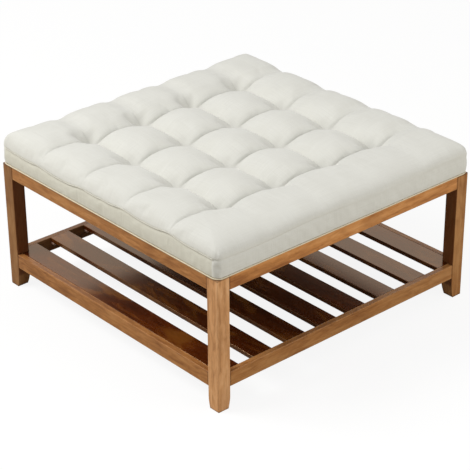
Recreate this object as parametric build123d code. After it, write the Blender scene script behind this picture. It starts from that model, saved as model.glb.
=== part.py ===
from build123d import *
import os

# Frame: four legs on a square plan
frame_side = 900
frame_height = 377
leg_side = 40
leg_arris = 2.5
toe_height = 55
toe_inset = 7

# Aprons under the seat and rails round the shelf
apron_height = 38
apron_thickness = 18
shelf_rail_height = 42
shelf_rail_thickness = 17
shelf_rail_lift = 62
rail_setback = 1
rail_arris = 1.5

# Slats of the shelf, spaced by hand: each share is one gap's part of all the gaps
slat_width = 64
slat_thickness = 12.5
slat_arris = 1.2
slat_gap_shares = (0.139, 0.151, 0.139, 0.123, 0.138, 0.161, 0.149)

# Round pegs in the rails that carry the slats, and the notch where an outer slat passes a leg
peg_diameter = 10
peg_reach = 12
peg_depth = 9
peg_inset = 5
side_peg_inset = 60
notch_clearance = 0.5

# Dowels between the legs and what stands between them
dowel_diameter = 8
dowel_depth = 14
dowel_spacing = 20

# Cleats that join the seat to the aprons
cleat_width = 18
cleat_height = 18
cleat_end_gap = 5

# Wood screws, three to a cleat each way
screw_diameter = 4
screw_bite = 11
screw_head_diameter = 8
screw_head_height = 2.4
screw_end_inset = 130
screw_offset = 40

# Seat board with the cover's hem folded under it
board_thickness = 15
hem_thickness = 1
hem_width = 52
dust_cover_thickness = 0.5
dust_cover_gap = 1

# Staples that hold the hem and the dust cover
staple_crown = 10
staple_wire = 1
staple_bite = 6
staple_inset = 7
staple_spacing = 75
staples_each_side = 11

# Cushion: crown, folds and seams
cushion_height = 103
seam_height = 51
corner_radius = 20
welt_size = 3
cover_wall = 3
band_thickness = 1.5
foam_thickness = 31
tufts_each_way = 4
edge_overrun = 0.5
edge_dip = 8
fold_depth = 24
pleat_end_share = 0.15
corner_power = 4
# Outside the outer fold: how far out each place lies, how far the edge has rolled down there, and how
# much of the fold is left
edge_shares = (
    (0.36, 0, 0.12),
    (0.72, 0.08, 0),
    (0.92, 0.36, 0),
    (1, 1, 0),
)

# Ties that draw the tufts down
tie_diameter = 2
tie_cover = 3
tie_knot_diameter = 6
tie_knot_height = 0.8

# Fits
hole_clearance = 0.2
cut_overrun = 5

# Places worked out from the sizes above
half_side = frame_side / 2
leg_inner = half_side - leg_side
rail_length = frame_side - 2 * leg_side
apron_bottom = frame_height - apron_height
apron_outer = half_side - rail_setback
apron_inner = apron_outer - apron_thickness
shelf_rail_top = shelf_rail_lift + shelf_rail_height
shelf_rail_inner = half_side - rail_setback - shelf_rail_thickness
slat_bottom = shelf_rail_top - slat_thickness
cleat_length = rail_length - 2 * cleat_end_gap
cleat_inner = apron_inner - cleat_width
screw_spacing = rail_length / 2 - screw_end_inset
board_bottom = frame_height + hem_thickness
board_top = board_bottom + board_thickness
board_half = half_side - cover_wall
hem_inner = board_half - hem_width
dust_cover_half = leg_inner - dust_cover_gap
cushion_top = frame_height + cushion_height
seam_level = frame_height + seam_height
welt_top = board_bottom + welt_size
foam_top = board_top + foam_thickness
tuft_pitch = frame_side / (tufts_each_way + 1)
tuft_places = [(i - (tufts_each_way - 1) / 2) * tuft_pitch for i in range(tufts_each_way)]
outer_fold = tuft_places[-1]
form_half = half_side + edge_overrun
edge_cell = form_half - outer_fold
edge_drop = cushion_top - seam_level + edge_dip

CENTRED = (Align.CENTER, Align.CENTER, Align.MIN)
SIDES = {"front": 270, "right": 0, "back": 90, "left": 180}
CORNERS = {"front_left": (-1, -1), "front_right": (1, -1), "back_left": (-1, 1), "back_right": (1, 1)}


def bar(length, depth, height, outer, bottom, arris):
    """A bar along Y with its outer face at X = outer and its four long edges rounded."""
    shape = Pos(outer - depth / 2, 0, bottom) * Box(depth, length, height, align=CENTRED)
    return fillet(shape.edges().filter_by(Axis.Y), arris)


def to_side(shape, side):
    """Turns what was made for the right side (+X) to another side."""
    return Rot(0, 0, SIDES[side]) * shape


def rounded_slab(half, radius, bottom, top):
    """A square plate with rounded corners."""
    outline = Plane.XY.offset(bottom) * RectangleRounded(2 * half, 2 * half, radius)
    return extrude(outline, top - bottom)


def pin_along_y(diameter, start, end, x, z):
    """A round pin along Y."""
    return Pos(x, start, z) * Rot(-90, 0, 0) * Cylinder(diameter / 2, end - start, align=CENTRED)


# Dowels
def end_dowels(diameter, thickness, bottom, height):
    """The dowels at both ends of a bar on the right side."""
    x = half_side - rail_setback - thickness / 2
    middle = bottom + height / 2
    pins = []
    for end in (-1, 1):
        joint = end * leg_inner
        for z in (middle - dowel_spacing / 2, middle + dowel_spacing / 2):
            pins.append(pin_along_y(diameter, joint - dowel_depth, joint + dowel_depth, x, z))
    return pins


def frame_dowels(diameter):
    """All dowels of the frame, or with a larger diameter the holes for them."""
    pins = []
    for side in SIDES:
        for pin in end_dowels(diameter, apron_thickness, apron_bottom, apron_height):
            pins.append(to_side(pin, side))
        for pin in end_dowels(diameter, shelf_rail_thickness, shelf_rail_lift, shelf_rail_height):
            pins.append(to_side(pin, side))
    return pins


# Legs
def toe_profile():
    """The leg's side view from its outer face inwards, with the toe curved in."""
    outer = Line((half_side, 0), (half_side, frame_height))
    top = Line(outer @ 1, (leg_inner, frame_height))
    inner = Line(top @ 1, (leg_inner, toe_height))
    toe = TangentArc(inner @ 1, (leg_inner + toe_inset, 0), tangent=(0, -1))
    floor = Line(toe @ 1, outer @ 0)
    return make_face([outer, top, inner, toe, floor])


def leg(corner):
    """One leg, rounded along its arrises, with the dowel holes."""
    place = half_side - leg_side / 2
    square = Pos(place, place) * RectangleRounded(leg_side, leg_side, leg_arris)
    column = extrude(square, frame_height)
    along_y = extrude(Plane.XZ * toe_profile(), frame_side, both=True)
    along_x = extrude(Plane.YZ * toe_profile(), frame_side, both=True)
    shape = column & along_y & along_x
    right, back = CORNERS[corner]
    if right < 0:
        shape = mirror(shape, about=Plane.YZ)
    if back < 0:
        shape = mirror(shape, about=Plane.XZ)
    return shape - frame_dowels(dowel_diameter + hole_clearance)


# Screws
def screw(bite_length):
    """A wood screw that points up, with the underside of its head at the origin."""
    shank = Cylinder(screw_diameter / 2, bite_length, align=CENTRED)
    head = Pos(0, 0, -screw_head_height) * Cylinder(screw_head_diameter / 2, screw_head_height, align=CENTRED)
    return shank + head


def screw_hole(bite_length):
    """The hole for a wood screw that points up."""
    return Cylinder((screw_diameter + hole_clearance) / 2, bite_length, align=CENTRED)


def into_apron(shape, offset):
    """Places an upright screw or hole in the right side's cleat, through to its apron."""
    return Pos(cleat_inner, offset + screw_offset, frame_height - cleat_height / 2) * Rot(0, 90, 0) * shape


def into_board(shape, offset):
    """Places an upright screw or hole in the right side's cleat, up into the seat board."""
    return Pos(cleat_inner + cleat_width / 2, offset, frame_height - cleat_height) * shape


def on_all_cleats(shape, place):
    """Three copies on each of the four cleats."""
    copies = []
    for side in SIDES:
        for step in (-1, 0, 1):
            copies.append(to_side(place(shape, step * screw_spacing), side))
    return copies


cleat_screw_length = cleat_width + screw_bite
seat_screw_length = cleat_height + hem_thickness + screw_bite
apron_screw_holes = on_all_cleats(screw_hole(cleat_screw_length), into_apron)
seat_screw_holes = on_all_cleats(screw_hole(seat_screw_length), into_board)


# Aprons and cleats
def apron(side):
    shape = bar(rail_length, apron_thickness, apron_height, apron_outer, apron_bottom, rail_arris)
    holes = frame_dowels(dowel_diameter + hole_clearance) + apron_screw_holes
    return to_side(shape, side) - holes


def cleat(side):
    bottom = frame_height - cleat_height
    shape = Pos(cleat_inner, 0, bottom) * Box(
        cleat_width, cleat_length, cleat_height, align=(Align.MIN, Align.CENTER, Align.MIN)
    )
    return to_side(shape, side) - apron_screw_holes - seat_screw_holes


# Shelf
def slat_centres():
    """The slats' places along X: side by side from rail to rail with the shared gaps."""
    slats = len(slat_gap_shares) + 1
    gaps = 2 * shelf_rail_inner - slats * slat_width
    x = slat_width / 2 - shelf_rail_inner
    centres = [x]
    for share in slat_gap_shares:
        x += slat_width + gaps * share
        centres.append(x)
    return centres


def slat(x):
    """One slat, notched where it would meet a leg."""
    shape = Pos(x, 0, slat_bottom) * Box(slat_width, 2 * shelf_rail_inner, slat_thickness, align=CENTRED)
    shape = fillet(shape.edges().filter_by(Axis.Y), slat_arris)
    side = leg_side + notch_clearance
    place = half_side - side / 2
    for right, back in CORNERS.values():
        shape = shape - Pos(right * place, back * place) * Box(side, side, frame_height, align=CENTRED)
    return shape


def end_pegs(diameter, x):
    """A peg in the back rail and one in the front rail."""
    z = slat_bottom - peg_diameter / 2
    back = pin_along_y(diameter, shelf_rail_inner - peg_reach, shelf_rail_inner + peg_depth, x, z)
    return [back, mirror(back, about=Plane.XZ)]


def slat_pegs(diameter):
    """Four pegs to a slat, or with a larger diameter the holes for them."""
    centres = slat_centres()
    reach = slat_width / 2 - peg_inset
    pegs = end_pegs(diameter, centres[0] + reach) + end_pegs(diameter, centres[-1] - reach)
    for centre in centres[1:-1]:
        pegs += end_pegs(diameter, centre - reach) + end_pegs(diameter, centre + reach)
    for peg in end_pegs(diameter, leg_inner - side_peg_inset) + end_pegs(diameter, side_peg_inset - leg_inner):
        pegs.append(Rot(0, 0, SIDES["back"]) * peg)
    return pegs


def shelf_rail(side):
    outer = half_side - rail_setback
    shape = bar(rail_length, shelf_rail_thickness, shelf_rail_height, outer, shelf_rail_lift, rail_arris)
    holes = frame_dowels(dowel_diameter + hole_clearance) + slat_pegs(peg_diameter + hole_clearance)
    return to_side(shape, side) - holes


# Seat board, hem, dust cover and staples
def staple():
    """A staple that points up, with its crown's upper face at the origin."""
    crown = Pos(0, 0, -staple_wire) * Box(staple_wire, staple_crown, staple_wire, align=CENTRED)
    prong = Box(staple_wire, staple_wire, staple_bite, align=CENTRED)
    reach = (staple_crown - staple_wire) / 2
    return crown + Pos(0, reach, 0) * prong + Pos(0, -reach, 0) * prong


def staple_row():
    """The staples along all four sides of the dust cover."""
    x = dust_cover_half - staple_inset
    copies = []
    for side in SIDES:
        for i in range(staples_each_side):
            y = (i - (staples_each_side - 1) / 2) * staple_spacing
            copies.append(to_side(Pos(x, y, frame_height - dust_cover_thickness) * staple(), side))
    return copies


def tie_places():
    return [(x, y) for x in tuft_places for y in tuft_places]


def tie_holes():
    """The holes for the tuft ties through board and foam and into the cover."""
    radius = (tie_diameter + hole_clearance) / 2
    length = tie_top() - board_bottom
    return [Pos(x, y, board_bottom) * Cylinder(radius, length, align=CENTRED) for x, y in tie_places()]


def seat_board():
    shape = rounded_slab(board_half, corner_radius - cover_wall, board_bottom, board_top)
    return shape - seat_screw_holes - tie_holes() - staple_row()


def cover_hem():
    """The folded-in edge of the cover, a flat frame between the seat board and the aprons."""
    outline = rounded_slab(board_half, corner_radius - cover_wall, frame_height, board_bottom)
    middle = Pos(0, 0, frame_height) * Box(2 * hem_inner, 2 * hem_inner, hem_thickness, align=CENTRED)
    return outline - middle - seat_screw_holes - staple_row()


def dust_cover():
    side = 2 * dust_cover_half
    bottom = frame_height - dust_cover_thickness
    shape = Pos(0, 0, bottom) * Box(side, side, dust_cover_thickness, align=CENTRED)
    return shape - staple_row()


# Cushion
def stations():
    """Across the cushion, the places where its arcs begin, have their middle and end.

    Each has its place, the share of the edge's roll and the share of the folds' depth that it has.
    """
    inner = []
    for place in tuft_places:
        inner += [(place - tuft_pitch / 2, 0, 0), (place, 0, 1)]
    right = [(outer_fold + out * edge_cell, rolled, folded) for out, rolled, folded in edge_shares]
    left = [(-place, rolled, folded) for place, rolled, folded in reversed(right)]
    return left + inner[1:] + right


def edge_share(place):
    """How far a place lies past the outer fold, from 0 there to 1 at the edge."""
    return max(0, abs(place) - outer_fold) / edge_cell


def cushion_point(station_x, station_y):
    """The point of the cushion's top at a pair of stations."""
    x, rolled_x, folded_x = station_x
    y, rolled_y, folded_y = station_y
    rolled = edge_drop * (rolled_x**corner_power + rolled_y**corner_power) ** (1 / corner_power)
    folds_along_x = folded_y * (1 - edge_share(x))
    folds_along_y = folded_x * (1 - (1 - pleat_end_share) * edge_share(y))
    return Vector(x, y, cushion_top - rolled - fold_depth * (folds_along_x + folds_along_y))


def cushion_section(station_y):
    """The cushion's cross-section at a station: lines below, one arc to each puff or edge above."""
    points = [cushion_point(station_x, station_y) for station_x in stations()]
    edges = []
    for i in range(0, len(points) - 2, 2):
        edges.append(ThreePointArc(points[i], points[i + 1], points[i + 2]))
    y = station_y[0]
    low_left = Vector(-form_half, y, board_bottom)
    low_right = Vector(form_half, y, board_bottom)
    edges.append(Line(points[-1], low_right))
    edges.append(Line(low_right, low_left))
    edges.append(Line(low_left, points[0]))
    return make_face(edges)


def cushion_form():
    """The whole tufted form, row by row from front to back, a little larger than the cover all round."""
    places = stations()
    rows = []
    for i in range(0, len(places) - 2, 2):
        rows.append(loft([cushion_section(station) for station in places[i : i + 3]]))
    shape = rows[0]
    for row in rows[1:]:
        shape = shape + row
    return shape


def side_band(side):
    """A flat band of cover between the rounded corners."""
    length = frame_side - 2 * corner_radius
    shape = Pos(half_side - band_thickness, 0, welt_top) * Box(
        band_thickness, length, seam_level - welt_top, align=(Align.MIN, Align.CENTER, Align.MIN)
    )
    return to_side(shape, side)


def cushion_cover():
    """The quilted cover, hollow where the seat board and the foam lie."""
    block = rounded_slab(half_side, corner_radius, welt_top, cushion_top + cut_overrun)
    cavity = rounded_slab(board_half, corner_radius - cover_wall, welt_top, foam_top)
    room = block - cavity - side_band("left") - side_band("right") - tie_holes()
    return cushion_form() & room


def foam_pad():
    return rounded_slab(board_half, corner_radius - cover_wall, board_top, foam_top) - tie_holes()


def bottom_welt():
    outline = rounded_slab(half_side, corner_radius, board_bottom, welt_top)
    return outline - rounded_slab(board_half, corner_radius - cover_wall, board_bottom, welt_top)


def tie_top():
    """Where a tie ends, just under the cover's lowest points."""
    tuft = (tuft_places[0], 0, 1)
    return cushion_point(tuft, tuft).Z - tie_cover


def tuft_ties():
    """The twines, each with its knot under the seat board."""
    twine = Cylinder(tie_diameter / 2, tie_top() - board_bottom, align=CENTRED)
    knot = Pos(0, 0, -tie_knot_height) * Cylinder(tie_knot_diameter / 2, tie_knot_height, align=CENTRED)
    tie = twine + knot
    return [Pos(x, y, board_bottom) * tie for x, y in tie_places()]


def write(node, shape):
    """Writes one node: a solid, or a list of separate solids."""
    if isinstance(shape, list):
        shape = Compound([solid for piece in shape for solid in piece.solids()])
    export_step(shape, "parts/" + node + ".step")


def main():
    os.makedirs("parts", exist_ok=True)
    for corner in CORNERS:
        write("leg_" + corner, leg(corner))
    for side in SIDES:
        write("apron_" + side, apron(side))
        write("shelf_rail_" + side, shelf_rail(side))
        write("seat_cleat_" + side, cleat(side))
    for number, x in enumerate(slat_centres(), 1):
        write(f"shelf_slat_{number}", slat(x))
    write("slat_pegs", slat_pegs(peg_diameter))
    write("frame_dowels", frame_dowels(dowel_diameter))
    write("cleat_screws", on_all_cleats(screw(cleat_screw_length), into_apron))
    write("seat_screws", on_all_cleats(screw(seat_screw_length), into_board))
    write("seat_board", seat_board())
    write("cover_hem", cover_hem())
    write("dust_cover", dust_cover())
    write("staples", staple_row())
    write("foam_pad", foam_pad())
    write("tuft_ties", tuft_ties())
    write("cushion_cover", cushion_cover())
    write("side_band_left", side_band("left"))
    write("side_band_right", side_band("right"))
    write("bottom_welt", bottom_welt())


main()
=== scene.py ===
import math

import bpy
import bmesh
from mathutils import Matrix, Vector, noise


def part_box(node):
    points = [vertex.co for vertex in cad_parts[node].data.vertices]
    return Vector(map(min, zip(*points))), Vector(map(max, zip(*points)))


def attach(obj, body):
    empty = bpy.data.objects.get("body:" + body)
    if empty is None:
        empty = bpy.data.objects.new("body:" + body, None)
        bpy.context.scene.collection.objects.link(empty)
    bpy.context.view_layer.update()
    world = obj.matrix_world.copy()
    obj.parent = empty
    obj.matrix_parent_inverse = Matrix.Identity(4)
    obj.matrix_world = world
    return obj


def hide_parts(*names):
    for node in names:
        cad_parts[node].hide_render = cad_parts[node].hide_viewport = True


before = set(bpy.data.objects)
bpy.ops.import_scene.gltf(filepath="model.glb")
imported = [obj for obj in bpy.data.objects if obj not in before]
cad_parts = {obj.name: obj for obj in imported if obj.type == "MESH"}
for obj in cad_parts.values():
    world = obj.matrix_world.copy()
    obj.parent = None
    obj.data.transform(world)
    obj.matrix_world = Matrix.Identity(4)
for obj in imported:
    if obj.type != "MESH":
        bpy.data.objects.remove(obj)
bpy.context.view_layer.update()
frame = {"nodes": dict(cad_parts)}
MM = 0.001

# Sizes of the frame and the seat board, in millimetres
LEG = 40
FRAME_TOP = 377
BOARD_TOP = 393
BOARD_HALF = 447

# The cushion's plan and heights
HALF = 450
RIM_OUT = 1
RIM = HALF + RIM_OUT
CORNER = 20
CORNER_START = RIM - CORNER
BAND_END = CORNER_START - 2
BOTTOM = 381
CREST = 477
SEAM_LEVEL = 432
CREASE_LEVEL = 434.5
WELT_LEVEL = 379.6

# Its tufts and folds
TUFT_PITCH = 180
FOLDS = tuple(TUFT_PITCH * step for step in (-1.5, -0.5, 0.5, 1.5))
OUTER_FOLD = FOLDS[-1]
FOLD_DEPTH = 24
TUFT_BOTTOM = 430.5
DIMPLE_REACH = 31
DIMPLE_SHIFT = 6

# What lies under the board
HEM_LEVEL = FRAME_TOP + 0.5
DUST_LEVEL = FRAME_TOP - 0.25
STAPLE_LEVEL = FRAME_TOP - 0.5
DUST_HALF = HALF - LEG - 1
STAPLE_PITCH = 75


# Node trees
class Val:
    """A socket that takes part in Python sums."""

    def __init__(self, nodes, socket):
        self.nodes = nodes
        self.socket = socket

    def math(self, operation, *others):
        return self.nodes.node("ShaderNodeMath", {"operation": operation}, [self, *others]).out()

    def __add__(self, other):
        return self.math("ADD", other)

    def __mul__(self, other):
        return self.math("MULTIPLY", other)

    def __sub__(self, other):
        return self.math("SUBTRACT", other)

    def __rsub__(self, other):
        return self.nodes.node("ShaderNodeMath", {"operation": "SUBTRACT"}, [other, self]).out()

    __radd__ = __add__
    __rmul__ = __mul__

    def abs(self):
        return self.math("ABSOLUTE")

    def sine(self):
        return self.math("SINE")

    def ramp(self, start, end):
        """0 at start, 1 at end, smooth between them."""
        settings = {"interpolation_type": "SMOOTHSTEP"}
        values = {"Value": self, "From Min": start, "From Max": end}
        return self.nodes.node("ShaderNodeMapRange", settings, values).out()


class Made:
    """A node that was made, with its outputs as values."""

    def __init__(self, nodes, node):
        self.nodes = nodes
        self.node = node

    def out(self, name=0):
        return Val(self.nodes, self.node.outputs[name])


class Nodes:
    """A tree that is put together node by node."""

    def __init__(self, tree):
        self.tree = tree
        self.tree.nodes.clear()

    def node(self, kind, settings, values):
        """One node: its settings are set first, then the values or links of its sockets."""
        node = self.tree.nodes.new(kind)
        for key, value in settings.items():
            if key == "stops":
                self.set_stops(node.color_ramp, value)
            else:
                setattr(node, key, value)
        pairs = values.items() if isinstance(values, dict) else enumerate(values)
        for key, value in pairs:
            if isinstance(value, Val):
                self.tree.links.new(value.socket, node.inputs[key])
            else:
                node.inputs[key].default_value = value
        return Made(self, node)

    def set_stops(self, ramp, stops):
        while len(ramp.elements) < len(stops):
            ramp.elements.new(1)
        for element, (place, tint) in zip(ramp.elements, stops):
            element.position = place
            element.color = tint


class Finish(Nodes):
    """A material."""

    def __init__(self, name):
        self.material = bpy.data.materials.new(name)
        self.material.use_nodes = True
        super().__init__(self.material.node_tree)

    def place(self):
        """Where a point of the piece lies, in metres."""
        return self.node("ShaderNodeTexCoord", {}, {}).out("Object")

    def cloth_place(self):
        """Where a point lies on the cloth, in metres of cloth."""
        return self.node("ShaderNodeTexCoord", {}, {}).out("UV")

    def axes(self, vector):
        """The three parts of a place."""
        node = self.node("ShaderNodeSeparateXYZ", {}, [vector])
        return [node.out(axis) for axis in "XYZ"]

    def stretch(self, vector, scale, move=(0, 0, 0)):
        """A place moved and scaled on each axis."""
        values = {"Vector": vector, "Scale": scale, "Location": move}
        return self.node("ShaderNodeMapping", {}, values).out()

    def grain(self, place, scale, detail, roughness, distortion=0.0, shift=(0, 0, 0)):
        """Noise with its own scale on each axis."""
        values = {
            "Vector": self.stretch(place, scale, shift), "Scale": 1, "Detail": detail, "Roughness": roughness,
            "Distortion": distortion,
        }
        return self.node("ShaderNodeTexNoise", {}, values).out("Fac")

    def fibre(self, place, length, scales, shift, *look):
        """Noise drawn out along a piece. The scales are across and along it."""
        scale = [scales[0]] * 3
        scale[length] = scales[1]
        return self.grain(place, scale, *look, shift=shift)

    def blend(self, factor, first, second):
        """One colour over another."""
        return self.node("ShaderNodeMix", {"data_type": "RGBA"}, {0: factor, 6: first, 7: second}).out(2)

    def relief(self, height, distance, strength):
        values = {"Height": height, "Distance": distance, "Strength": strength}
        return self.node("ShaderNodeBump", {}, values).out()

    def end(self, shader):
        self.node("ShaderNodeOutputMaterial", {}, [shader])
        return self.material

    def surface(self, **values):
        """The finished surface. Names follow the shader's sockets, with _ for a space."""
        sockets = {key.replace("_", " "): value for key, value in values.items()}
        return self.end(self.node("ShaderNodeBsdfPrincipled", {}, sockets).out())


def color(tint, tone=1.0):
    """A colour as it looks, times a tone, as the linear values that a shader takes."""
    parts = []
    for part in tint:
        share = min(250, part * tone) / 255
        parts.append(share / 12.92 if share <= 0.04045 else ((share + 0.055) / 1.055) ** 2.4)
    return (*parts, 1)


# Finishes
STAINS = {
    # dark, middle and light of each stain, as they look
    "case": ((126, 74, 34), (180, 122, 68), (207, 152, 96)),
    "pale": ((144, 94, 54), (199, 147, 99), (223, 177, 132)),
    # The shelf's stain is much darker than the case's: partly a darker stain, partly painted shade under the
    # seat
    "shelf": ((54, 18, 2), (80, 32, 6), (106, 50, 14)),
}
GOLDEN_PATCH = (154, 96, 34)
DARK_END = (70, 36, 16)
# Painted shade: the colour laid on a leg's inner face, which lies in shade
PAINTED_SHADE_FACE = (86, 26, 2)
# Roughness, how far flecks and pores change it, the relief's strength, and the lacquer
CASE_GLOSS = (0.31, 0.08, 0.7, {"Coat_Weight": 0.06, "Coat_Roughness": 0.2, "Specular_IOR_Level": 0.26})
SHELF_GLOSS = (
    0.18, 0.012, 0.04, {"IOR": 1.66, "Specular_IOR_Level": 1.0, "Specular_Tint": (1.0, 0.62, 0.32, 1)}
)


def depth_inside(value, low, high):
    """How far a point lies inside a piece along one axis."""
    return (high - low) / 2 - (value - (low + high) / 2).abs()


def stained_wood(name, node, along, tone, seed, stain="case", deep=None):
    """Stained hardwood: grain along the piece, flecks, pores, darker ends, and lighter arrises that are
    partly wear and partly a painted highlight.

    Where deep names an axis, the piece's low face on that axis is painted darker: painted shade on a face
    that lies in shade."""
    finish = Finish(name)
    place = finish.place()
    length = "XYZ".index(along)
    shift = (seed * 0.37, seed * 0.61, seed * 0.23)
    figure = finish.fibre(place, length, (16, 1.1), shift, 5, 0.55, 1.2)
    streaks = finish.fibre(place, length, (95, 2.6), shift, 4, 0.6, 0.4)
    flecks = finish.fibre(place, length, (90, 20), shift, 4, 0.6, 0.8)
    pores = finish.fibre(place, length, (900, 22), shift, 2, 0.5, 0.0).ramp(0.6, 0.72)
    cloudy = finish.fibre(place, length, (17, 7), shift, 3, 0.55, 0.8)
    low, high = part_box(node)
    places = finish.axes(place)
    depths = [depth_inside(*values) for values in zip(places, low, high)]
    end = 1 - depths.pop(length).ramp(0.0, 0.005)
    arris_wear_and_highlight = 1 - (depths[0] + depths[1]).ramp(0.0012, 0.0048)
    dark, mid, light = (color(shade, tone) for shade in STAINS[stain])
    mixed = (figure * 0.42 + streaks * 0.22 + flecks * 0.36).ramp(0.29, 0.71)
    stops = ((0.0, dark), (0.45, mid), (1.0, light))
    base = finish.node("ShaderNodeValToRGB", {"stops": stops}, [mixed]).out()
    base = finish.blend(cloudy.ramp(0.42, 0.7) * 0.4, base, dark)
    if stain == "shelf":
        base = finish.blend((1 - cloudy).ramp(0.5, 0.68) * 0.38, base, color(GOLDEN_PATCH))
    base = finish.blend(pores * 0.3, base, color(STAINS[stain][0], 0.72))
    # Arrises lighter: partly wear, partly a painted highlight where a rounded edge catches the light
    base = finish.blend(arris_wear_and_highlight * 0.14, base, light)
    base = finish.blend(end * 0.55, base, color(DARK_END))
    # Painted shade: the low face on the named axis is darkened, as it lies in shade
    if deep:
        axis = "XYZ".index(deep)
        inner = 1 - (places[axis] - low[axis]).ramp(0.0004, 0.0012)
        base = finish.blend(inner * 0.62, base, color(PAINTED_SHADE_FACE))
    gloss, spread, strength, lacquer = SHELF_GLOSS if stain == "shelf" else CASE_GLOSS
    rough = (flecks + pores) * spread + gloss
    bump = finish.relief(streaks * 0.4 - pores * 0.6, 0.00018, strength)
    return finish.surface(Base_Color=base, Roughness=rough, Normal=bump, **lacquer)


PLY = 1.5 * MM


def plain_wood(name, tint, along, seed, layered=False):
    """Unfinished wood, with plies where it is a board."""
    finish = Finish(name)
    place = finish.place()
    streaks = finish.fibre(place, "XYZ".index(along), (120, 4), (seed, seed, seed), 4, 0.6, 0.3)
    light, dark = color(tint), color(tint, 0.72)
    base = finish.blend(streaks.ramp(0.3, 0.7), light, dark)
    if layered:
        plies = (finish.axes(place)[2] * (math.pi / PLY)).sine().ramp(-0.3, 0.3)
        base = finish.blend(plies * 0.3, base, dark)
    bump = finish.relief(streaks, 0.0002, 0.6)
    return finish.surface(Base_Color=base, Roughness=0.72, Normal=bump)


# Threads in a metre of cloth, and how tightly the cords' weave winds
THREADS = 1250
BIAS_TURNS = 5200


def cloth(name, tint, shade, crease_shade=False):
    """A plain weave with uneven threads, on the cloth's own UV map, with painted shade in the tufts and
    creases where asked for.
    """
    finish = Finish(name)
    place = finish.cloth_place()
    across, along, _ = finish.axes(place)
    wander = finish.grain(place, (60, 60, 1), 2, 0.5)
    warp = ((across * (THREADS * math.pi)) + wander * 2).sine()
    weft = ((along * (THREADS * math.pi)) + wander * 2).sine()
    weave = (warp * weft) * 0.5 + 0.5
    slub = (finish.grain(place, (9, 900, 1), 2, 0.6) + finish.grain(place, (900, 9, 1), 2, 0.6)) * 0.5
    cloud = finish.grain(place, (14, 14, 1), 3, 0.5)
    light, dark = color(tint), color(shade)
    base = finish.blend(slub.ramp(0.4, 0.68) * 0.5, light, dark)
    base = finish.blend(cloud.ramp(0.35, 0.7) * 0.22, base, dark)
    base = finish.blend(weave * 0.12, base, dark)
    # Painted shade: the cloth darkened in tufts and creases, where shade falls
    if crease_shade:
        tucked = finish.node("ShaderNodeAttribute", {"attribute_name": "tucked"}, {}).out("Fac")
        base = finish.blend(tucked * 0.5, base, color(shade, 0.86))
    bump = finish.relief(weave * 0.5 + slub, 0.00022, 0.55)
    return finish.surface(
        Base_Color=base, Roughness=0.82 + weave * 0.1, Normal=bump, Sheen_Weight=0.25, Sheen_Roughness=0.5,
        Specular_IOR_Level=0.25
    )


def cord_cloth(name, tint, shade):
    """The same weave on the bias, as it looks wrapped round a thin cord."""
    finish = Finish(name)
    place = finish.place()
    x, y, z = finish.axes(place)
    slant = ((x + y + z * 1.3) * BIAS_TURNS).sine()
    counter = ((x - y - z * 1.3) * BIAS_TURNS).sine()
    weave = slant * counter * 0.5 + 0.5
    slub = finish.grain(place, (240, 240, 240), 3, 0.6)
    base = finish.blend(slub.ramp(0.35, 0.7) * 0.6 + weave * 0.25, color(tint), color(shade))
    bump = finish.relief(weave * 0.6 + slub, 0.0002, 0.5)
    return finish.surface(
        Base_Color=base, Roughness=0.8 + weave * 0.1, Normal=bump, Sheen_Weight=0.2, Sheen_Roughness=0.5,
        Specular_IOR_Level=0.25
    )


def spun_cloth(name, tint):
    """The black cloth under the seat, of pressed fibres."""
    finish = Finish(name)
    place = finish.place()
    fibres = finish.grain(place, (420, 420, 420), 5, 0.75, 2.5)
    cells = {"Vector": finish.stretch(place, (330, 330, 330)), "Scale": 1}
    dots = finish.node("ShaderNodeTexVoronoi", {"feature": "F1"}, cells).out("Distance")
    pressed = 1 - dots.ramp(0.12, 0.3)
    base = finish.blend(fibres.ramp(0.35, 0.7), color(tint), color(tint, 1.7))
    bump = finish.relief(fibres - pressed * 0.8, 0.0003, 0.7)
    return finish.surface(Base_Color=base, Roughness=0.88, Normal=bump)


def zinc(name):
    """Bright zinc-plated steel with faint marks."""
    finish = Finish(name)
    marks = finish.grain(finish.place(), (700, 700, 90), 4, 0.6)
    base = finish.blend(marks.ramp(0.35, 0.75), color((196, 196, 190)), color((150, 150, 146)))
    bump = finish.relief(marks, 0.00008, 0.4)
    return finish.surface(Base_Color=base, Metallic=1.0, Roughness=0.3 + marks * 0.2, Normal=bump)


# Meshes and objects
def new_object(name, data):
    """An object in the scene that shows the data."""
    made = bpy.data.objects.new(name, data)
    bpy.context.scene.collection.objects.link(made)
    return made


def finish_mesh(name, mesh):
    """A smooth-shaded piece from a mesh under construction."""
    data = bpy.data.meshes.new(name)
    mesh.to_mesh(data)
    mesh.free()
    for polygon in data.polygons:
        polygon.use_smooth = True
    return new_object(name, data)


def evaluated(piece):
    """The piece as its modifiers make it."""
    return piece.evaluated_get(bpy.context.evaluated_depsgraph_get())


def carry_out(piece, modifier):
    """Makes what a modifier gives the piece's own mesh."""
    finished = bpy.data.meshes.new_from_object(evaluated(piece))
    piece.modifiers.remove(modifier)
    old = piece.data
    piece.data = finished
    bpy.data.meshes.remove(old)
    finished.name = piece.name


def thicken(piece, thickness):
    """Gives a sheet its thickness, half to each side."""
    solid = piece.modifiers.new("Thickness", "SOLIDIFY")
    solid.thickness = thickness * MM
    solid.offset = 0
    carry_out(piece, solid)


def join_rings(mesh, rings):
    """The walls between closed rings of points."""
    for first, second in zip(rings, rings[1:]):
        for n in range(len(first)):
            after = (n + 1) % len(first)
            mesh.faces.new((first[n], first[after], second[after], second[n]))


def ring_edges(mesh, ring):
    """The edges between the points of a closed ring."""
    return [mesh.edges.get(pair) for pair in zip(ring, ring[1:] + ring[:1])]


def lay_flat(mesh):
    """Gives a flat cloth a UV map that is its own plan, in metres."""
    uv = mesh.loops.layers.uv.new("UVMap")
    for face in mesh.faces:
        for corner in face.loops:
            corner[uv].uv = (corner.vert.co.x, corner.vert.co.y)


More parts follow.
